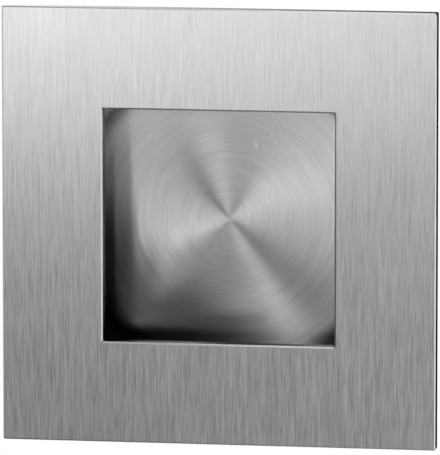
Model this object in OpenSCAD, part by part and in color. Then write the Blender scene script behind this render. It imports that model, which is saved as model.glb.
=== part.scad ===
// Recessed pull handle, to be let into a door or a drawer front.
//
// A square stainless face plate lies flat on the door. Behind its square window sits a round
// turned dish that is wider than the window, so the fingertips hook behind the window's edge.
// The dish drops into a round pocket in the door. Its rim is bonded into a shallow round groove
// in the plate's back, which centres it on the window.
//
// Frame: the origin is where the dish's axis meets the plate's back, which is the door's
// surface. +Y goes into the door, +Z is up, and the plate faces -Y.

/* [Face plate] */
// Width and height of the plate
plate_w = 70; // [66:1:120]
// Thickness of the plate, all of which stands proud of the door
plate_t = 2.5; // [1.5:0.1:4]
// Edge break around the plate's front
front_edge = 0.2; // [0.05:0.05:0.5]
// Break across the plate's four corners
corner_break = 0.25; // [0.1:0.05:3]
// Burr break around the plate's back, outside and at the window
back_edge = 0.1; // [0.05:0.05:0.4]

/* [Window] */
// Width and height of the window, clear
window_w = 37.5; // [24:0.5:40]
// Edge break around the window's front
window_edge = 0.25; // [0.05:0.05:0.5]

/* [Dish] */
// How far the dish's mouth stands outside the window's corners
mouth_margin = 0.93; // [0.3:0.01:3]
// Depth from the plate's front to the dish's floor
recess_depth = 12; // [8:0.5:25]
// Thickness of the dish's wall
wall_t = 1.7; // [1:0.1:3]
// Thickness of the dish's floor
floor_t = 1.5; // [1:0.1:4]
// Radius of the fillet between the dish's wall and floor
floor_fillet = 3.5; // [0.5:0.5:5]
// Chamfer around the dish's back, which leads it into the pocket
lead_in = 0.6; // [0.2:0.1:1]

/* [Seat] */
// Depth of the groove in the plate's back that the dish's rim sits in
seat_depth = 0.5; // [0.2:0.1:0.8]
// Clearance around the rim in its groove
seat_gap = 0.05; // [0.02:0.01:0.2]

/* [Hidden] */
$fn = 128;

// How far a cutting shape runs past what it cuts
past = 1;
// Half the window's diagonal, over its edge breaks
corner_reach = (window_w / 2 + max(window_edge, back_edge)) * sqrt(2);
// The dish inside and outside
bowl_r = corner_reach + mouth_margin;
body_r = bowl_r + wall_t;
// Depths behind the plate's back
floor_depth = recess_depth - plate_t;
body_depth = floor_depth + floor_t;

// Turns what is drawn with +Z as the depth, so that +Y is the depth.
module into_door() {
    rotate([-90, 0, 0]) children();
}

// What two like prisms of a profile share when they cross at right angles. The profile's Y
// is the depth, so each depth of the result is a square as wide as the profile there.
module squared(length) {
    module prism() {
        rotate([90, 0, 0]) linear_extrude(length, center = true) children();
    }
    intersection() {
        prism() children();
        rotate([0, 0, 90]) prism() children();
    }
}

// The plate's section: flat faces, with its front and back edges broken.
module plate_profile() {
    half = plate_w / 2;
    polygon([
        [-half, front_edge - plate_t], [front_edge - half, -plate_t],
        [half - front_edge, -plate_t], [half, front_edge - plate_t],
        [half, -back_edge], [half - back_edge, 0],
        [back_edge - half, 0], [-half, -back_edge]
    ]);
}

// The window's section, which flares at both faces and runs past them.
module window_profile() {
    half = window_w / 2;
    front = half + window_edge + past;
    back = half + back_edge + past;
    polygon([
        [-front, -plate_t - past], [front, -plate_t - past],
        [half, window_edge - plate_t], [half, -back_edge],
        [back, past], [-back, past],
        [-half, -back_edge], [-half, window_edge - plate_t]
    ]);
}

// The plate's outline, with its corners broken.
module plate_outline() {
    half = plate_w / 2;
    short = half - corner_break;
    polygon([
        [-short, -half], [short, -half], [half, -short], [half, short],
        [short, half], [-short, half], [-half, short], [-half, -short]
    ]);
}

// The round groove that the dish's rim sits in.
module seat_groove() {
    rotate_extrude()
        translate([bowl_r - seat_gap, -seat_depth])
            square([wall_t + 2 * seat_gap, seat_depth + past]);
}

module face_plate() {
    color("#b9bbbc")
        into_door()
            difference() {
                intersection() {
                    squared(plate_w + 2 * past) plate_profile();
                    translate([0, 0, -plate_t - past])
                        linear_extrude(plate_t + 2 * past) plate_outline();
                }
                squared(window_w + 4 * past) window_profile();
                seat_groove();
            }
}

// Half the dish's section. X is the radius and Y is the depth. The rim's outer corner is cut
// back inside its groove, which leaves room for the adhesive.
module dish_profile() {
    rim = -seat_depth;
    mouth = rim - past;
    difference() {
        polygon([
            [0, rim], [body_r + rim, rim], [body_r, 0], [body_r, body_depth - lead_in],
            [body_r - lead_in, body_depth], [0, body_depth]
        ]);
        translate([0, mouth]) square([bowl_r, floor_depth - floor_fillet - mouth]);
        translate([0, mouth]) square([bowl_r - floor_fillet, floor_depth - mouth]);
        translate([bowl_r - floor_fillet, floor_depth - floor_fillet]) circle(floor_fillet);
    }
}

module dish() {
    color("#a6a8aa")
        into_door() rotate_extrude() dish_profile();
}

face_plate();
dish();
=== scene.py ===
"""Recessed pull handle: its brushed face plate, its turned dish and a plain studio.

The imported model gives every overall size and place. Each piece of the handle is a class
that models itself on the bench and dresses itself in a steel finish.
"""

import logging
import math
from dataclasses import dataclass, field, replace
from enum import Enum
from functools import partial
from typing import Callable

import bmesh
import bpy
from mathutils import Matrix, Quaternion, Vector


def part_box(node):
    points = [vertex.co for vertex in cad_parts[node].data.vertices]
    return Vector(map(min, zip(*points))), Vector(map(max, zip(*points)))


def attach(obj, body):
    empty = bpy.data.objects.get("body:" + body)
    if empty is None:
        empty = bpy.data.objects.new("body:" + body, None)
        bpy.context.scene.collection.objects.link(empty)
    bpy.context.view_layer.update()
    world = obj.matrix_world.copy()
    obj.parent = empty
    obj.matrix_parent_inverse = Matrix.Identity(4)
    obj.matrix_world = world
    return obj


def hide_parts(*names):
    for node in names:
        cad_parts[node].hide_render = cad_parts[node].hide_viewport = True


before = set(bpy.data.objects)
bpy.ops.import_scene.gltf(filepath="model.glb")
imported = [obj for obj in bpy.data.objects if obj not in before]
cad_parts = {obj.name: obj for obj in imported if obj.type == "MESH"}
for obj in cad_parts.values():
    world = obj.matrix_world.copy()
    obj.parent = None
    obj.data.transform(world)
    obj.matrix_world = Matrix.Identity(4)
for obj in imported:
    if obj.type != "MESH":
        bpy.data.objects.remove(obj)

MM = 0.001
# Two lengths no further apart than this are the same
TINY = 0.01 * MM
# The turn that lays a flat primitive in the plane of the plate
FACE_ON = (math.pi / 2, 0.0, 0.0)
# A normal with more than this much depth in it faces straight out of the handle or into it
SQUARE_ON = math.cos(math.radians(5))
# Faces that meet at more than this angle make a sharp edge
SHARP = math.radians(30)
# How much of a bevel bulges outwards: a half makes it round
ROUND = 0.5
# The middle of what a noise gives
MIDDLE = 0.5
# The dish's axis, which runs into the door
DISH_AXIS = (0.0, 1.0, 0.0)
NUMBER = "NodeSocketFloat"
VECTOR = "NodeSocketVector"
WHITE = (1.0, 1.0, 1.0, 1.0)
log = logging.getLogger("pull_handle")


class Grain(Enum):
    """Which way the fine lines of a steel surface run."""

    STRAIGHT = "up and down the plate"
    TURNED = "round the dish's axis"
    NONE = "no direction"


# ---------------------------------------------------------------- bench


def clear_bench() -> None:
    """Leaves edit mode and deselects everything."""
    if bpy.context.object and bpy.context.object.mode != "OBJECT":
        bpy.ops.object.mode_set(mode="OBJECT")
    bpy.ops.object.select_all(action="DESELECT")


def take(piece: bpy.types.Object) -> None:
    """Puts one piece alone on the bench.

    Args:
        piece: The object to work on.
    """
    clear_bench()
    piece.select_set(True)
    bpy.context.view_layer.objects.active = piece


def open_piece(piece: bpy.types.Object, mode: str) -> None:
    """Puts one piece alone on the bench, in edit mode, with nothing on it selected.

    Args:
        piece: The object to edit.
        mode: What is to be selected: VERT, EDGE or FACE.
    """
    take(piece)
    bpy.ops.object.mode_set(mode="EDIT")
    bpy.ops.mesh.select_mode(type=mode)
    bpy.ops.mesh.select_all(action="DESELECT")


def pick_edges(piece: bpy.types.Object, wanted: Callable[[Vector, Vector], bool]) -> int:
    """Selects the sharp edges in edit mode that pass a test.

    Args:
        piece: The object in edit mode.
        wanted: Tells from an edge's two ends whether it belongs.

    Returns:
        How many edges were selected.
    """
    mesh = bmesh.from_edit_mesh(piece.data)
    for edge in mesh.edges:
        sharp = edge.calc_face_angle(0.0) > SHARP
        start, end = (vertex.co for vertex in edge.verts)
        edge.select_set(sharp and wanted(start, end))
    bmesh.update_edit_mesh(piece.data)
    return sum(edge.select for edge in mesh.edges)


def settle(piece: bpy.types.Object) -> None:
    """Moves a new piece's place and turn into its mesh.

    Args:
        piece: The new piece.
    """
    take(piece)
    bpy.ops.object.transform_apply(location=True, rotation=True, scale=True)


def round_edges(
    piece: bpy.types.Object, wanted: Callable[[Vector, Vector], bool], width: float, steps: int
) -> None:
    """Rounds a set of edges with the bevel tool.

    Args:
        piece: The object to edit.
        wanted: Tells from an edge's two ends whether it is one of them.
        width: How far the rounding reaches from each edge.
        steps: How many faces make the rounding.
    """
    open_piece(piece, "EDGE")
    if not pick_edges(piece, wanted):
        raise ValueError(f"{piece.name} has no such edge to round")
    # without loop slide, both sides of an edge break are cut back alike
    bpy.ops.mesh.bevel(
        offset=width, segments=steps, profile=ROUND, affect="EDGES", loop_slide=False
    )
    clear_bench()


def assign_slots(piece: bpy.types.Object, slot_of: Callable[[bpy.types.MeshPolygon], int]) -> None:
    """Gives each face of a piece its material slot.

    Args:
        piece: The object whose faces are dressed.
        slot_of: Tells a face's slot number.
    """
    for face in piece.data.polygons:
        face.material_index = slot_of(face)


# ---------------------------------------------------------------- node groups


class Patch:
    """A short way to lay out the nodes of one material or group."""

    def __init__(self, tree: bpy.types.NodeTree) -> None:
        """Starts on an empty tree.

        Args:
            tree: The node tree to fill.
        """
        self.tree = tree
        self.tree.nodes.clear()

    def add(self, kind: str, **settings: object) -> bpy.types.Node:
        """Adds a node and sets its plain properties.

        Args:
            kind: The node's type, without its ShaderNode or Node prefix.
            settings: The node's properties by name.

        Returns:
            The new node.
        """
        prefix = "" if kind.startswith("NodeGroup") else "ShaderNode"
        node = self.tree.nodes.new(prefix + kind)
        for name, value in settings.items():
            setattr(node, name, value)
        return node

    def feed(self, node: bpy.types.Node, **inputs: object) -> bpy.types.Node:
        """Links or sets a node's inputs.

        Args:
            node: The node to feed.
            inputs: An output socket or a constant for each input, with _ for a space.

        Returns:
            The same node.
        """
        for name, value in inputs.items():
            self.fill(node.inputs[name.replace("_", " ")], value)
        return node

    def fill(self, socket: bpy.types.NodeSocket, value: object) -> None:
        """Links or sets one input.

        Args:
            socket: The input.
            value: An output socket or a constant.
        """
        if isinstance(value, bpy.types.NodeSocket):
            self.tree.links.new(value, socket)
        else:
            socket.default_value = value

    def maths(self, operation: str, *values: object) -> bpy.types.NodeSocket:
        """Adds a Math node.

        Args:
            operation: The Math node's operation.
            values: A socket or a number for each of its inputs.

        Returns:
            The node's result.
        """
        node = self.add("Math", operation=operation)
        for socket, value in zip(node.inputs, values):
            self.fill(socket, value)
        return node.outputs[0]

    def vectors(self, operation: str, *values: object) -> bpy.types.NodeSocket:
        """Adds a Vector Math node.

        Args:
            operation: The Vector Math node's operation.
            values: A socket or a vector for each of its inputs.

        Returns:
            The node's vector result.
        """
        node = self.add("VectorMath", operation=operation)
        for socket, value in zip(node.inputs, values):
            self.fill(socket, value)
        return node.outputs["Vector"]


def new_group(
    name: str, inputs: dict[str, str], outputs: dict[str, str]
) -> tuple[bpy.types.NodeTree, Patch, bpy.types.Node, bpy.types.Node]:
    """Makes an empty shader node group with named sockets.

    Args:
        name: The group's name.
        inputs: Each input's name and socket type.
        outputs: Each output's name and socket type.

    Returns:
        The group, its patch, its input node and its output node.
    """
    group = bpy.data.node_groups.new(name, "ShaderNodeTree")
    for label, kind in inputs.items():
        group.interface.new_socket(label, in_out="INPUT", socket_type=kind)
    for label, kind in outputs.items():
        group.interface.new_socket(label, in_out="OUTPUT", socket_type=kind)
    patch = Patch(group)
    return group, patch, patch.add("NodeGroupInput"), patch.add("NodeGroupOutput")


@dataclass(frozen=True)
class LineSet:
    """One set of brushed lines, drawn from noise.

    Attributes:
        across: How closely the lines lie side by side.
        along: How often a line changes along its length.
        start: Where in the noise the set starts, so that no two sets are alike.
    """

    across: float = 1.0
    along: float = 1.0
    start: float = 0.0

    def draw(self, patch: Patch, stretched: bpy.types.NodeSocket) -> bpy.types.NodeSocket:
        """Adds the lines to a group.

        Args:
            patch: The group's patch.
            stretched: The place, in line widths across and line lengths along.

        Returns:
            The lines' strength, about nought.
        """
        scale = (self.across, self.along, self.along)
        place = patch.vectors("MULTIPLY_ADD", stretched, scale, (self.start,) * 3)
        noise = patch.feed(patch.add("TexNoise"), Vector=place, Scale=1.0, Detail=1.0)
        return patch.maths("SUBTRACT", noise.outputs["Fac"], MIDDLE)


FINE_LINES = LineSet()
LONG_LINES = LineSet(across=0.9, along=0.25, start=41.0)
LEANING_LINES = LineSet(across=0.9, along=0.8, start=83.0)
# How much of the shade comes from the fine lines and from the long ones
FINE_SHARE = 0.7
LONG_SHARE = 0.5


def grain_group() -> bpy.types.NodeTree:
    """Makes the brushed lines that every steel finish shares.

    The lines cross the vector's X and run along its Y and Z.

    Returns:
        A group from a place to the lines' height and shade, each about a half, and to how
        far each line leans along its own length, about nought.
    """
    group, patch, source, result = new_group(
        "Brushed grain",
        {"Place": VECTOR, "Line Width": NUMBER, "Line Length": NUMBER},
        {"Height": NUMBER, "Shade": NUMBER, "Lean": NUMBER},
    )
    across = patch.maths("DIVIDE", 1.0, source.outputs["Line Width"])
    along = patch.maths("DIVIDE", 1.0, source.outputs["Line Length"])
    pitch = patch.feed(patch.add("CombineXYZ"), X=across, Y=along, Z=along).outputs[0]
    stretched = patch.vectors("MULTIPLY", source.outputs["Place"], pitch)
    fine = FINE_LINES.draw(patch, stretched)
    long = LONG_LINES.draw(patch, stretched)
    lean = LEANING_LINES.draw(patch, stretched)
    fine_shade = patch.maths("MULTIPLY_ADD", fine, FINE_SHARE, MIDDLE)
    long_shade = patch.maths("MULTIPLY", long, LONG_SHARE)
    patch.feed(
        result,
        Height=patch.maths("ADD", fine, MIDDLE),
        Shade=patch.maths("ADD", fine_shade, long_shade),
        Lean=patch.maths("ADD", lean, long),
    )
    return group


def turned_place_group() -> bpy.types.NodeTree:
    """Makes the coordinates in which turned lines are straight.

    Returns:
        A group from a place to a vector of the radius, then the way round, and to the radius.
    """
    group, patch, source, result = new_group(
        "Turned place",
        {"Place": VECTOR, "Turn Length": NUMBER},
        {"Place": VECTOR, "Radius": NUMBER},
    )
    flat = patch.vectors("MULTIPLY", source.outputs["Place"], (1.0, 0.0, 1.0))
    parts = patch.feed(patch.add("SeparateXYZ"), Vector=source.outputs["Place"])
    heading = patch.feed(patch.add("SeparateXYZ"), Vector=patch.vectors("NORMALIZE", flat))
    radius = patch.add("VectorMath", operation="LENGTH")
    patch.fill(radius.inputs[0], flat)
    # the depth counts with the radius, so that walls have lines too
    across = patch.maths("ADD", radius.outputs["Value"], parts.outputs["Y"])
    length = source.outputs["Turn Length"]
    joined = patch.feed(
        patch.add("CombineXYZ"),
        X=across,
        Y=patch.maths("MULTIPLY", heading.outputs["X"], length),
        Z=patch.maths("MULTIPLY", heading.outputs["Z"], length),
    )
    patch.feed(result, Place=joined.outputs[0], Radius=radius.outputs["Value"])
    return group


def ramp_group() -> bpy.types.NodeTree:
    """Makes a smooth change from one tone to another along a length.

    Returns:
        A group from a length, its two ends and their tones to the tone there.
    """
    names = ("Length", "Start", "End", "Start Tone", "End Tone")
    group, patch, source, result = new_group(
        "Smooth change", {name: NUMBER for name in names}, {"Tone": NUMBER}
    )
    ramp = patch.add("MapRange", interpolation_type="SMOOTHSTEP")
    fed = dict(zip(("Value", "From_Min", "From_Max", "To_Min", "To_Max"), names))
    patch.feed(ramp, **{socket: source.outputs[name] for socket, name in fed.items()})
    patch.feed(result, Tone=ramp.outputs[0])
    return group


# ---------------------------------------------------------------- finishes


# How many broad patches of wear cross a metre, and how finely they break up
WEAR_SCALE = 90.0
WEAR_DETAIL = 2.0
# The way once round the dish, in the length that the turned lines are drawn on
TURN_LENGTH = 5 * MM
# How deep the brushed lines are cut
LINE_DEPTH = 2e-6
# A quarter turn, which sets the long way of the gloss across the lines
ACROSS_THE_LINES = 0.25


@dataclass(frozen=True)
class SteelFinish:
    """How one kind of stainless surface looks.

    Attributes:
        name: The finish's name.
        grain: Which way its lines run.
        colour: The steel's colour.
        roughness: How dull it is.
        stretch: How far the lines draw the gloss out across themselves.
        line_width: The width of a fine line.
        line_length: The length of a fine line.
        shade_depth: How much lighter or darker a line may be.
        rough_depth: How much duller or glossier a worn patch may be.
        lean_depth: How far a line may lean along its own length.
        bump_depth: How strongly the cut lines catch the light.
        change_start: The height or radius where the finish starts to change.
        change_end: The height or radius where the change ends.
        bite_start: The lines' strength before the change.
        bite_end: The lines' strength after the change.
        painted_shade_tone: The steel's tone after the change, which is 1 before it.
        patch_depth: How much lighter or darker a worn patch may be.
    """

    name: str
    grain: Grain
    colour: tuple[float, float, float]
    roughness: float = 0.387
    stretch: float = 0.988
    line_width: float = 0.1 * MM
    line_length: float = 3.8 * MM
    shade_depth: float = 0.38
    rough_depth: float = 0.02
    lean_depth: float = 0.03
    bump_depth: float = 0.3
    change_start: float = 0.0
    change_end: float = 1.0
    bite_start: float = 1.0
    bite_end: float = 1.0
    # below 1, the steel darkens past the change: painted shade
    painted_shade_tone: float = 1.0
    patch_depth: float = 0.03

    def material(self, groups: dict[str, bpy.types.NodeTree]) -> bpy.types.Material:
        """Builds the finish as a material.

        Args:
            groups: The shared node groups by name.

        Returns:
            The new material.
        """
        made = bpy.data.materials.new(self.name)
        made.use_nodes = True
        patch = Patch(made.node_tree)
        place = patch.add("TexCoord").outputs["Object"]
        lines, length = self.draw_lines(patch, groups, place)
        wear = patch.feed(
            patch.add("TexNoise"), Vector=place, Scale=WEAR_SCALE, Detail=WEAR_DETAIL
        )
        mottle = patch.maths("SUBTRACT", wear.outputs["Fac"], MIDDLE)
        tint = patch.add("VectorMath", operation="SCALE")
        patch.fill(tint.inputs[0], self.colour)
        patch.fill(tint.inputs["Scale"], self.tone(patch, groups, lines, length, mottle))
        steel = patch.feed(
            patch.add("BsdfPrincipled"),
            Base_Color=tint.outputs["Vector"],
            Roughness=patch.maths("MULTIPLY_ADD", mottle, self.rough_depth * 2, self.roughness),
            Metallic=1.0,
        )
        facing = patch.add("NewGeometry").outputs["Normal"]
        if self.grain is not Grain.NONE:
            along = self.along_the_lines(patch, place)
            facing = self.lean(patch, facing, along, lines)
            patch.feed(
                steel,
                Anisotropic=self.stretch,
                Anisotropic_Rotation=ACROSS_THE_LINES,
                Tangent=along,
            )
        bump = patch.feed(
            patch.add("Bump"),
            Height=lines.outputs["Height"],
            Normal=facing,
            Strength=self.bump_depth,
            Distance=LINE_DEPTH,
        )
        patch.feed(steel, Normal=bump.outputs["Normal"])
        patch.feed(patch.add("OutputMaterial"), Surface=steel.outputs[0])
        return made

    def draw_lines(
        self, patch: Patch, groups: dict[str, bpy.types.NodeTree], place: bpy.types.NodeSocket
    ) -> tuple[bpy.types.Node, bpy.types.NodeSocket]:
        """Adds the finish's lines.

        Args:
            patch: The material's patch.
            groups: The shared node groups by name.
            place: The place on the piece.

        Returns:
            The node of the lines, and the height or radius along which the finish changes.
        """
        if self.grain is Grain.TURNED:
            turned = patch.add("Group", node_tree=groups["turned place"])
            patch.feed(turned, Place=place, Turn_Length=TURN_LENGTH)
            lines_place = turned.outputs["Place"]
            length = turned.outputs["Radius"]
        else:
            parts = patch.feed(patch.add("SeparateXYZ"), Vector=place)
            lines_place = place
            length = parts.outputs["Z"]
        lines = patch.feed(
            patch.add("Group", node_tree=groups["grain"]),
            Place=lines_place,
            Line_Width=self.line_width,
            Line_Length=self.line_length,
        )
        return lines, length

    def tone(
        self,
        patch: Patch,
        groups: dict[str, bpy.types.NodeTree],
        lines: bpy.types.Node,
        length: bpy.types.NodeSocket,
        mottle: bpy.types.NodeSocket,
    ) -> bpy.types.NodeSocket:
        """Adds how light or dark the steel is at each place, with the painted shade that darkens it
        past the change.

        Args:
            patch: The material's patch.
            groups: The shared node groups by name.
            lines: The node of the lines.
            length: The height or radius along which the finish changes.
            mottle: The broad patches of wear, about nought.

        Returns:
            The tone, about one.
        """
        offset = patch.maths("SUBTRACT", lines.outputs["Shade"], MIDDLE)
        bite = self.change(patch, groups, length, self.bite_start, self.bite_end)
        bitten = patch.maths("MULTIPLY", offset, bite)
        fine = patch.maths("MULTIPLY_ADD", bitten, self.shade_depth * 2, 1.0)
        worn = patch.maths("MULTIPLY_ADD", mottle, self.patch_depth * 2, 1.0)
        # painted shade: the steel darkens smoothly to the finish's end tone across the change
        end_tone = self.change(patch, groups, length, 1.0, self.painted_shade_tone)
        return patch.maths("MULTIPLY", patch.maths("MULTIPLY", fine, worn), end_tone)

    def lean(
        self,
        patch: Patch,
        facing: bpy.types.NodeSocket,
        along: bpy.types.NodeSocket,
        lines: bpy.types.Node,
    ) -> bpy.types.NodeSocket:
        """Leans each line a little along its own length, which breaks up the gloss.

        Args:
            patch: The material's patch.
            facing: The surface's own normal.
            along: The direction of the lines.
            lines: The node of the lines.

        Returns:
            The leaning normal.
        """
        amount = patch.maths("MULTIPLY", lines.outputs["Lean"], self.lean_depth)
        lean = patch.add("VectorMath", operation="SCALE")
        patch.fill(lean.inputs[0], along)
        patch.fill(lean.inputs["Scale"], amount)
        return patch.vectors("NORMALIZE", patch.vectors("ADD", facing, lean.outputs["Vector"]))

    def change(
        self,
        patch: Patch,
        groups: dict[str, bpy.types.NodeTree],
        length: bpy.types.NodeSocket,
        start_tone: float,
        end_tone: float,
    ) -> bpy.types.NodeSocket:
        """Adds a tone that changes smoothly along the piece.

        Args:
            patch: The material's patch.
            groups: The shared node groups by name.
            length: The height or radius of each place.
            start_tone: The tone up to where the change starts.
            end_tone: The tone from where the change ends.

        Returns:
            The tone at each place.
        """
        ramp = patch.feed(
            patch.add("Group", node_tree=groups["ramp"]),
            Length=length,
            Start=self.change_start,
            End=self.change_end,
            Start_Tone=start_tone,
            End_Tone=end_tone,
        )
        return ramp.outputs["Tone"]

    def along_the_lines(self, patch: Patch, place: bpy.types.NodeSocket) -> bpy.types.NodeSocket:
        """Finds the direction of the lines at each place.

        Args:
            patch: The material's patch.
            place: The place on the piece.

        Returns:
            A socket with a vector along the lines.
        """
        if self.grain is Grain.STRAIGHT:
            return patch.feed(patch.add("CombineXYZ"), Z=1.0).outputs[0]
        round_axis = patch.vectors("CROSS_PRODUCT", DISH_AXIS, place)
        return patch.vectors("NORMALIZE", round_axis)


PLATE_FACE = SteelFinish(
    "Steel brushed straight",
    Grain.STRAIGHT,
    colour=(0.37, 0.373, 0.373),
    lean_depth=0.009,
    change_start=32 * MM,
    change_end=-32 * MM,
    bite_start=0.75,
    bite_end=2.1,
)
PLATE_EDGE = SteelFinish(
    "Steel cut edge", Grain.NONE, colour=(0.25, 0.252, 0.252), roughness=0.22, shade_depth=0.15
)
PLATE_BREAK = SteelFinish(
    "Steel edge break", Grain.NONE, colour=(0.42, 0.422, 0.422), roughness=0.42, shade_depth=0.15
)
DISH_INSIDE = SteelFinish(
    "Steel turned",
    Grain.TURNED,
    colour=(0.598, 0.602, 0.6),
    roughness=0.308,
    stretch=1.0,
    line_width=0.24 * MM,
    line_length=2.0 * MM,
    shade_depth=0.2,
    # From 22.6 to 25.6 mm out, the floor and its fillet darken smoothly to 0.06 of their colour:
    # painted shade towards the wall
    change_start=22.6 * MM,
    change_end=25.6 * MM,
    painted_shade_tone=0.06,
)
# The wall is the same turned steel at about a sixth of the floor's colour: painted shade for the
# recess's dark wall
DISH_WALL_PAINTED_SHADE = replace(
    DISH_INSIDE, name="Steel turned wall painted dark", colour=(0.1, 0.101, 0.1), painted_shade_tone=1.0
)
DISH_OUTSIDE = SteelFinish(
    "Steel turned outside",
    Grain.TURNED,
    colour=(0.5, 0.503, 0.503),
    roughness=0.36,
    stretch=0.8,
    line_width=0.3 * MM,
    line_length=2.0 * MM,
)


# ---------------------------------------------------------------- pieces


@dataclass
class FacePlate:
    """The square plate, with its window and the groove behind it.

    Attributes:
        window: The window's width and height.
        window_corner: The radius of the window's corners.
        plate_corner: The radius of the plate's corners.
        corner_steps: How many faces make a corner.
        front_break: The edge break around the front.
        window_break: The edge break around the window's front.
        back_break: The burr break around the back, outside and at the window.
        groove_depth: The depth of the groove that the dish's rim sits in.
        groove_inner: The groove's inner radius.
        groove_outer: The groove's outer radius.
        groove_steps: How many faces go round the groove.
        low: The least corner of the plate's box.
        high: The greatest corner of the plate's box.
    """

    window: float = 37.5 * MM
    window_corner: float = 0.2 * MM
    plate_corner: float = 0.25 * MM
    corner_steps: int = 4
    front_break: float = 0.2 * MM
    window_break: float = 0.25 * MM
    back_break: float = 0.1 * MM
    groove_depth: float = 0.5 * MM
    groove_inner: float = 27.75 * MM
    groove_outer: float = 29.55 * MM
    groove_steps: int = 192
    low: Vector = field(default_factory=lambda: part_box("face_plate")[0])
    high: Vector = field(default_factory=lambda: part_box("face_plate")[1])

    def build(self, groups: dict[str, bpy.types.NodeTree]) -> bpy.types.Object:
        """Models the plate and dresses it.

        Args:
            groups: The shared node groups by name.

        Returns:
            The finished plate.
        """
        piece = self.blank()
        self.break_edges(piece)
        self.cut_groove(piece)
        for finish in (PLATE_FACE, PLATE_EDGE, PLATE_BREAK):
            piece.data.materials.append(finish.material(groups))
        assign_slots(piece, self.slot_of)
        return piece

    def slot_of(self, face: bpy.types.MeshPolygon) -> int:
        """Tells which finish a face of the plate has.

        Args:
            face: The face.

        Returns:
            0 for the flat faces, 1 for the cut edges and 2 for the edge breaks.
        """
        square = abs(face.normal.y)
        if square > SQUARE_ON:
            return 0
        return 1 if square < math.sqrt(1 - SQUARE_ON**2) else 2

    def blank(self) -> bpy.types.Object:
        """Cuts the square blank with its window.

        Returns:
            The plate with sharp edges.
        """
        width = self.high.x - self.low.x
        clear_bench()
        bpy.ops.mesh.primitive_plane_add(
            size=width, location=(0.0, self.low.y, 0.0), rotation=FACE_ON
        )
        piece = bpy.context.object
        piece.name = "brushed_face_plate"
        settle(piece)
        open_piece(piece, "FACE")
        bpy.ops.mesh.select_all(action="SELECT")
        bpy.ops.mesh.inset(thickness=(width - self.window) / 2)
        bpy.ops.mesh.delete(type="FACE")
        bpy.ops.mesh.select_all(action="SELECT")
        depth = self.high.y - self.low.y
        bpy.ops.mesh.extrude_region_move(TRANSFORM_OT_translate={"value": (0.0, depth, 0.0)})
        bpy.ops.mesh.select_all(action="SELECT")
        bpy.ops.mesh.normals_make_consistent(inside=False)
        clear_bench()
        return piece

    def break_edges(self, piece: bpy.types.Object) -> None:
        """Rounds the plate's corners, then breaks its front and back edges.

        Args:
            piece: The plate with sharp edges.
        """
        for half, radius in (
            (self.high.x, self.plate_corner),
            (self.window / 2, self.window_corner),
        ):
            round_edges(piece, partial(self.is_corner, half=half), radius, self.corner_steps)
        loops = (
            (self.low.y, True, self.front_break),
            (self.low.y, False, self.window_break),
            (self.high.y, True, self.back_break),
            (self.high.y, False, self.back_break),
        )
        for level, outside, width in loops:
            on_loop = partial(self.is_loop, level=level, outside=outside)
            round_edges(piece, on_loop, width, steps=1)

    def is_corner(self, start: Vector, end: Vector, half: float) -> bool:
        """Tells whether an edge runs through the plate at a corner of a square.

        Args:
            start: One end of the edge.
            end: Its other end.
            half: Half the square's width.

        Returns:
            True if it does.
        """
        straight = abs(start.x - end.x) + abs(start.z - end.z) < TINY
        off = max(abs(abs(start.x) - half), abs(abs(start.z) - half))
        return straight and off < TINY

    def is_loop(self, start: Vector, end: Vector, level: float, outside: bool) -> bool:
        """Tells whether an edge lies on the loop round the plate or the window at a level.

        Args:
            start: One end of the edge.
            end: Its other end.
            level: The depth of the loop.
            outside: Whether it is the plate's loop, and not the window's.

        Returns:
            True if it does.
        """
        between = (self.high.x + self.window / 2) / 2
        for place in (start, end):
            reach = max(abs(place.x), abs(place.z))
            if abs(place.y - level) >= TINY or (reach > between) != outside:
                return False
        return True

    def cut_groove(self, piece: bpy.types.Object) -> None:
        """Cuts the round groove that the dish's rim sits in.

        Args:
            piece: The plate.
        """
        clear_bench()
        bpy.ops.mesh.primitive_cylinder_add(
            vertices=self.groove_steps,
            radius=self.groove_outer,
            depth=2 * self.groove_depth,
            location=(0.0, self.high.y, 0.0),
            rotation=FACE_ON,
        )
        cutter = bpy.context.object
        settle(cutter)
        open_piece(cutter, "FACE")
        mesh = bmesh.from_edit_mesh(cutter.data)
        for face in mesh.faces:
            face.select_set(abs(face.normal.y) > SQUARE_ON)
        bmesh.update_edit_mesh(cutter.data)
        bpy.ops.mesh.inset(thickness=self.groove_outer - self.groove_inner)
        bpy.ops.mesh.bridge_edge_loops()
        bpy.ops.mesh.select_all(action="SELECT")
        bpy.ops.mesh.normals_make_consistent(inside=False)
        take(piece)
        cut = piece.modifiers.new("groove", "BOOLEAN")
        cut.operation = "DIFFERENCE"
        cut.solver = "EXACT"
        cut.object = cutter
        bpy.ops.object.modifier_apply(modifier=cut.name)
        bpy.data.objects.remove(cutter)


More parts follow.
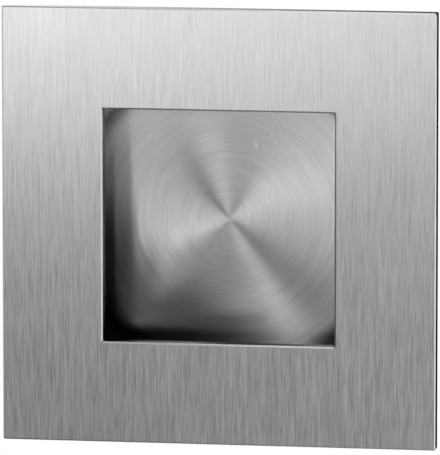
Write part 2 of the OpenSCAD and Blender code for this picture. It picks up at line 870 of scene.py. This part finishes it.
@dataclass
class Dish:
    """The round dish behind the plate, turned in one piece.

    Attributes:
        bowl_radius: The radius inside.
        recess_depth: The depth from the plate's front to the floor.
        floor_fillet: The radius between the wall and the floor.
        fillet_steps: How many faces make the fillet.
        rim_cut: The chamfer that leaves room for adhesive in the groove.
        lead_in: The chamfer around the back.
        ring: How far a ring that keeps a flat face flat lies from a rounding.
        back_reach: How far from the back a face still belongs to the outside.
        steps_round: How many faces go round the dish.
        weld: How close two corners are when they are welded into one.
        low: The least corner of the dish's box.
        high: The greatest corner of the dish's box.
        front: The depth of the plate's front.
    """

    bowl_radius: float = 27.8 * MM
    recess_depth: float = 12.0 * MM
    floor_fillet: float = 3.5 * MM
    fillet_steps: int = 14
    rim_cut: float = 0.5 * MM
    lead_in: float = 0.6 * MM
    ring: float = 0.1 * MM
    back_reach: float = 1.0 * MM
    steps_round: int = 256
    weld: float = 0.001 * MM
    low: Vector = field(default_factory=lambda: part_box("dish")[0])
    high: Vector = field(default_factory=lambda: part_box("dish")[1])
    front: float = field(default_factory=lambda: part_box("face_plate")[0].y)

    def build(self, groups: dict[str, bpy.types.NodeTree]) -> bpy.types.Object:
        """Models the dish and dresses it.

        Args:
            groups: The shared node groups by name.

        Returns:
            The finished dish.
        """
        piece = self.profile()
        self.fillet_floor(piece)
        self.turn(piece)
        # the wall's dark finish and the floor's darkening towards it are painted shade
        for finish in (DISH_INSIDE, DISH_WALL_PAINTED_SHADE, DISH_OUTSIDE):
            piece.data.materials.append(finish.material(groups))
        assign_slots(piece, self.slot_of)
        return piece

    def slot_of(self, face: bpy.types.MeshPolygon) -> int:
        """Tells which finish a face of the dish has.

        Args:
            face: The face.

        Returns:
            0 for the floor and its fillet, 1 for the wall inside and 2 for the outside.
        """
        across = math.hypot(face.center.x, face.center.z)
        if across > self.bowl_radius or face.center.y > self.high.y - self.back_reach:
            return 2
        return 1 if abs(face.normal.y) < 1 - SQUARE_ON else 0

    def corners(self) -> list[tuple[float, float]]:
        """Lists the corners of half the dish's section, from the floor's centre round.

        Returns:
            Each corner's radius and depth.
        """
        body = self.high.x
        rim = self.low.y
        back = self.high.y
        floor = self.front + self.recess_depth
        flat_end = self.bowl_radius - self.floor_fillet - self.ring
        return [
            (0.0, floor),
            (flat_end, floor),
            (self.bowl_radius, floor),
            (self.bowl_radius, rim),
            (body - self.rim_cut, rim),
            (body, rim + self.rim_cut),
            (body, back - self.lead_in),
            (body - self.lead_in, back),
            (body - self.lead_in - self.ring, back),
            (0.0, back),
        ]

    def profile(self) -> bpy.types.Object:
        """Draws half the dish's section as a chain of edges.

        Returns:
            The chain, which lies in the plane of X and Y.
        """
        clear_bench()
        bpy.ops.mesh.primitive_plane_add(size=MM)
        piece = bpy.context.object
        piece.name = "turned_dish"
        open_piece(piece, "VERT")
        bpy.ops.mesh.select_all(action="SELECT")
        bpy.ops.mesh.merge(type="CENTER")
        corners = self.corners()
        bpy.ops.transform.translate(value=(corners[0][0], corners[0][1], 0.0))
        for (from_r, from_y), (to_r, to_y) in zip(corners, corners[1:]):
            bpy.ops.mesh.extrude_region_move(
                TRANSFORM_OT_translate={"value": (to_r - from_r, to_y - from_y, 0.0)}
            )
        clear_bench()
        return piece

    def fillet_floor(self, piece: bpy.types.Object) -> None:
        """Rounds the corner between the floor and the wall.

        Args:
            piece: The chain of edges.
        """
        corner = Vector((self.bowl_radius, self.front + self.recess_depth, 0.0))
        open_piece(piece, "VERT")
        mesh = bmesh.from_edit_mesh(piece.data)
        for vertex in mesh.verts:
            vertex.select_set((vertex.co - corner).length < TINY)
        bmesh.update_edit_mesh(piece.data)
        bpy.ops.mesh.bevel(
            offset=self.floor_fillet,
            segments=self.fillet_steps,
            profile=ROUND,
            affect="VERTICES",
        )
        clear_bench()

    def turn(self, piece: bpy.types.Object) -> None:
        """Spins the section into the whole dish.

        Args:
            piece: The finished chain of edges.
        """
        open_piece(piece, "VERT")
        bpy.ops.mesh.select_all(action="SELECT")
        bpy.ops.mesh.spin(
            steps=self.steps_round, angle=2 * math.pi, center=(0, 0, 0), axis=DISH_AXIS
        )
        bpy.ops.mesh.select_all(action="SELECT")
        bpy.ops.mesh.remove_doubles(threshold=self.weld)
        bpy.ops.mesh.normals_make_consistent(inside=False)
        take(piece)
        bpy.ops.object.shade_smooth_by_angle(angle=SHARP)


# ---------------------------------------------------------------- studio


# How many standard widths a light's fade reaches to each side
FADE_REACH = 3
# The widest that half a light may look from the handle, in degrees
WIDEST = 60.0


def towards(azimuth: float, elevation: float) -> Vector:
    """Finds a direction away from the handle.

    Args:
        azimuth: Degrees to the right of straight in front of the plate.
        elevation: Degrees up.

    Returns:
        The direction, of length one.
    """
    turn = math.radians(azimuth)
    rise = math.radians(elevation)
    return Vector(
        (math.sin(turn) * math.cos(rise), -math.cos(turn) * math.cos(rise), math.sin(rise))
    )


@dataclass(frozen=True)
class SoftLight:
    """A soft light that faces the handle and fades towards its edges.

    Angles are in degrees, as seen from the handle.

    Attributes:
        name: The light's name.
        azimuth: How far to the right it hangs.
        elevation: How far up it hangs.
        width: The standard width of its fade.
        height: The standard height of its fade.
        turn: How far it is turned about its own axis.
        radiance: How bright its middle is.
    """

    name: str
    azimuth: float
    elevation: float
    width: float
    height: float
    turn: float
    radiance: float

    def hang(self, middle: Vector, distance: float, lit: bpy.types.Collection | None) -> None:
        """Hangs the light, which the camera doesn't see.

        Args:
            middle: The point that it faces.
            distance: How far from that point it hangs.
            lit: The pieces that it lights, or None for all of them.
        """
        away = towards(self.azimuth, self.elevation)
        narrowed = self.width * math.cos(math.radians(self.elevation))
        lamp = bpy.data.lights.new(self.name, "AREA")
        lamp.shape = "RECTANGLE"
        lamp.size = self.across(narrowed, distance)
        lamp.size_y = self.across(self.height, distance)
        lamp.energy = self.radiance * math.pi * lamp.size * lamp.size_y
        self.fade(lamp)
        holder = bpy.data.objects.new(self.name, lamp)
        holder.location = middle + away * distance
        spin = Quaternion((0, 0, 1), math.radians(self.turn))
        holder.rotation_euler = (away.to_track_quat("Z", "Y") @ spin).to_euler()
        holder.visible_camera = False
        holder.light_linking.receiver_collection = lit
        bpy.context.scene.collection.objects.link(holder)

    def across(self, spread: float, distance: float) -> float:
        """Gives a side of the light that holds the whole of its fade."""
        return 2 * distance * math.tan(math.radians(min(FADE_REACH * spread, WIDEST)))

    def fade(self, lamp: bpy.types.AreaLight) -> None:
        """Fades the light smoothly towards its edges.

        Args:
            lamp: The light's data.
        """
        lamp.use_nodes = True
        patch = Patch(lamp.node_tree)
        place = patch.add("NewGeometry").outputs["Parametric"]
        centred = patch.vectors("SUBTRACT", place, (0.5, 0.5, 0.0))
        widths = (2 * FADE_REACH, 2 * FADE_REACH, 0.0)
        local = patch.vectors("MULTIPLY", centred, widths)
        reach = patch.add("VectorMath", operation="DOT_PRODUCT")
        patch.fill(reach.inputs[0], local)
        patch.fill(reach.inputs[1], local)
        # a bell curve: the exponent of minus half the squared distance
        fade = patch.maths("EXPONENT", patch.maths("MULTIPLY", reach.outputs["Value"], -0.5))
        glow = patch.feed(patch.add("Emission"), Color=WHITE, Strength=fade)
        patch.feed(patch.add("OutputLight"), Surface=glow.outputs[0])


PLATE_LIGHTS = (
    SoftLight(
        "plate key", azimuth=-24.6, elevation=3.0, width=8.0, height=5.0, turn=170, radiance=12.03
    ),
    SoftLight(
        "plate right", azimuth=71.5, elevation=-7.5, width=8.0, height=9.9, turn=171, radiance=5.2
    ),
    SoftLight(
        "plate front", azimuth=10.6, elevation=3.5, width=11.8, height=20.0, turn=2, radiance=0.91
    ),
    SoftLight(
        "plate foot", azimuth=-7.7, elevation=-29.3, width=25.3, height=16.0, turn=5, radiance=0.67
    ),
    SoftLight(
        "plate overhead", azimuth=-6.0, elevation=73.0, width=12.0, height=12.0, turn=0, radiance=9.0
    ),
    SoftLight(
        "plate left", azimuth=-100.0, elevation=0.0, width=12.0, height=12.0, turn=0, radiance=0.75
    ),
    SoftLight(
        "plate below", azimuth=-6.0, elevation=-78.0, width=11.0, height=11.0, turn=0, radiance=4.5
    ),
    SoftLight(
        "plate behind", azimuth=-157.0, elevation=12.0, width=9.0, height=10.0, turn=0, radiance=1.7
    ),
)
DISH_LIGHTS = (
    SoftLight(
        "main left", azimuth=-19.4, elevation=-8.5, width=4.5, height=1.3, turn=36, radiance=11.74
    ),
    SoftLight(
        "main middle", azimuth=-2.8, elevation=-9.9, width=1.3, height=1.3, turn=7, radiance=6.97
    ),
    SoftLight(
        "main small", azimuth=-16.2, elevation=-6.1, width=1.3, height=1.3, turn=7, radiance=1.91
    ),
    SoftLight(
        "low middle", azimuth=-8.9, elevation=-19.0, width=1.7, height=2.6, turn=178, radiance=4.73
    ),
    SoftLight(
        "high left", azimuth=-18.5, elevation=12.0, width=3.6, height=2.5, turn=172, radiance=4.31
    ),
    SoftLight(
        "left skirt", azimuth=-36.3, elevation=-19.3, width=5.1, height=3.6, turn=0, radiance=5.9
    ),
    SoftLight(
        "right skirt", azimuth=54.2, elevation=-31.9, width=4.1, height=11.7, turn=20, radiance=6.8
    ),
    SoftLight(
        "low left", azimuth=-31.8, elevation=-42.6, width=5.5, height=12.2, turn=12, radiance=4.52
    ),
    SoftLight(
        "low far left", azimuth=-56.8, elevation=-50.1, width=4.1, height=16.6, turn=18, radiance=23.69
    ),
    SoftLight(
        "low far right", azimuth=53.8, elevation=-54.3, width=3.4, height=10.0, turn=156, radiance=60.6
    ),
    SoftLight(
        "high far left", azimuth=-60.2, elevation=42.2, width=7.6, height=4.7, turn=6, radiance=25.2
    ),
    SoftLight("foot", azimuth=-5.0, elevation=-55.8, width=13.0, height=5.1, turn=0, radiance=8.6),
    SoftLight(
        "left filler", azimuth=-56.0, elevation=-36.5, width=6.2, height=6.3, turn=176, radiance=9.3
    ),
    SoftLight(
        "small filler", azimuth=-18.2, elevation=-30.6, width=3.9, height=4.4, turn=179, radiance=2.12
    ),
)
ROUND_LIGHTS = (
    SoftLight(
        "rear left", azimuth=-135.0, elevation=3.0, width=16.0, height=20.0, turn=0, radiance=1.0
    ),
    SoftLight(
        "rear right", azimuth=118.0, elevation=-8.0, width=11.0, height=20.0, turn=0, radiance=0.6
    ),
    SoftLight(
        "side right", azimuth=95.0, elevation=-5.0, width=12.0, height=20.0, turn=0, radiance=0.7
    ),
    SoftLight(
        "side left", azimuth=-95.0, elevation=15.0, width=12.0, height=20.0, turn=0, radiance=0.5
    ),
    SoftLight("sky", azimuth=180.0, elevation=78.0, width=20.0, height=20.0, turn=0, radiance=0.8),
)


@dataclass(frozen=True)
class Studio:
    """The camera, the pale floor and the soft lights.

    Attributes:
        azimuth: How far to the right of the handle the camera stands, in degrees.
        elevation: How far above it the camera stands, in degrees.
        distance: How far from it the camera stands.
        lens: The lens's length in millimetres.
        sensor: The sensor's width in millimetres.
        nearest: The nearest that the camera sees.
        farthest: The farthest that the camera sees.
        aim_right: How far right of the plate's middle the camera looks.
        aim_up: How far above the plate's middle the camera looks.
        floor_size: The floor's width.
        paper_tone: How bright the floor and the air behind everything look.
        air_glow: How much light comes from all round.
        light_distance: How far from the handle the lights hang.
    """

    azimuth: float = 9.44
    elevation: float = 7.97
    distance: float = 1.19
    lens: float = 591.2
    sensor: float = 36.0
    nearest: float = 0.05
    farthest: float = 20.0
    aim_right: float = 0.3 * MM
    aim_up: float = 0.1 * MM
    floor_size: float = 6.0
    paper_tone: float = 1.0
    air_glow: float = 0.005
    light_distance: float = 0.3

    def aim(self) -> Vector:
        """Finds the middle of the plate's face."""
        return Vector((0.0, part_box("face_plate")[0].y, 0.0))

    def set_camera(self) -> None:
        """Puts the camera a little to the right of the handle and above it."""
        back = towards(self.azimuth, self.elevation)
        target = self.aim() + Vector((self.aim_right, 0.0, self.aim_up))
        data = bpy.data.cameras.new("product camera")
        data.lens = self.lens
        data.sensor_width = self.sensor
        data.clip_start = self.nearest
        data.clip_end = self.farthest
        camera = bpy.data.objects.new("product camera", data)
        camera.location = target + back * self.distance
        camera.rotation_euler = (-back).to_track_quat("-Z", "Y").to_euler()
        bpy.context.scene.collection.objects.link(camera)
        bpy.context.scene.camera = camera

    def lay_floor(self) -> None:
        """Lays the pale floor under the plate's lower edge, out of the steel's reflections."""
        clear_bench()
        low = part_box("face_plate")[0]
        bpy.ops.mesh.primitive_plane_add(size=self.floor_size, location=(0.0, 0.0, low.z))
        floor = bpy.context.object
        floor.name = "pale_floor"
        settle(floor)
        paper = bpy.data.materials.new("Pale paper")
        paper.use_nodes = True
        patch = Patch(paper.node_tree)
        tone = (self.paper_tone, self.paper_tone, self.paper_tone, 1.0)
        lit = patch.feed(patch.add("Emission"), Color=tone)
        patch.feed(patch.add("OutputMaterial"), Surface=lit.outputs[0])
        floor.data.materials.append(paper)
        for ray in ("diffuse", "glossy", "transmission", "shadow"):
            setattr(floor, "visible_" + ray, False)

    def light(self, plate: bpy.types.Object, dish: bpy.types.Object) -> None:
        """Whitens the air behind everything and hangs the lights.

        Args:
            plate: The piece that the plate's lights fall on.
            dish: The piece that the dish's lights fall on.
        """
        world = bpy.data.worlds.new("Studio air")
        world.use_nodes = True
        patch = Patch(world.node_tree)
        seen = patch.add("LightPath").outputs["Is Camera Ray"]
        more = self.paper_tone - self.air_glow
        brightness = patch.maths("MULTIPLY_ADD", seen, more, self.air_glow)
        air = patch.feed(patch.add("Background"), Color=WHITE, Strength=brightness)
        patch.feed(patch.add("OutputWorld"), Surface=air.outputs[0])
        bpy.context.scene.world = world
        bpy.context.scene.view_settings.view_transform = "Standard"
        for lights, piece in ((PLATE_LIGHTS, plate), (DISH_LIGHTS, dish), (ROUND_LIGHTS, None)):
            lit = None
            if piece is not None:
                lit = bpy.data.collections.new("lit " + piece.name)
                lit.objects.link(piece)
            for soft in lights:
                soft.hang(self.aim(), self.light_distance, lit)


def main() -> None:
    """Builds the studio and the handle."""
    logging.basicConfig(level=logging.INFO, format="%(name)s: %(message)s")
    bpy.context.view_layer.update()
    studio = Studio()
    studio.set_camera()
    groups = {
        "grain": grain_group(),
        "turned place": turned_place_group(),
        "ramp": ramp_group(),
    }
    pieces = []
    for node, slot, maker in (
        ("face_plate", "plate_steel", FacePlate()),
        ("dish", "dish_steel", Dish()),
    ):
        piece = maker.build(groups)
        pieces.append(piece)
        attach(piece, "root")
        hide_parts(node)
        log.info("%s: %d faces", piece.name, len(piece.data.polygons))
    studio.lay_floor()
    studio.light(*pieces)


if __name__ == "__main__":
    main()
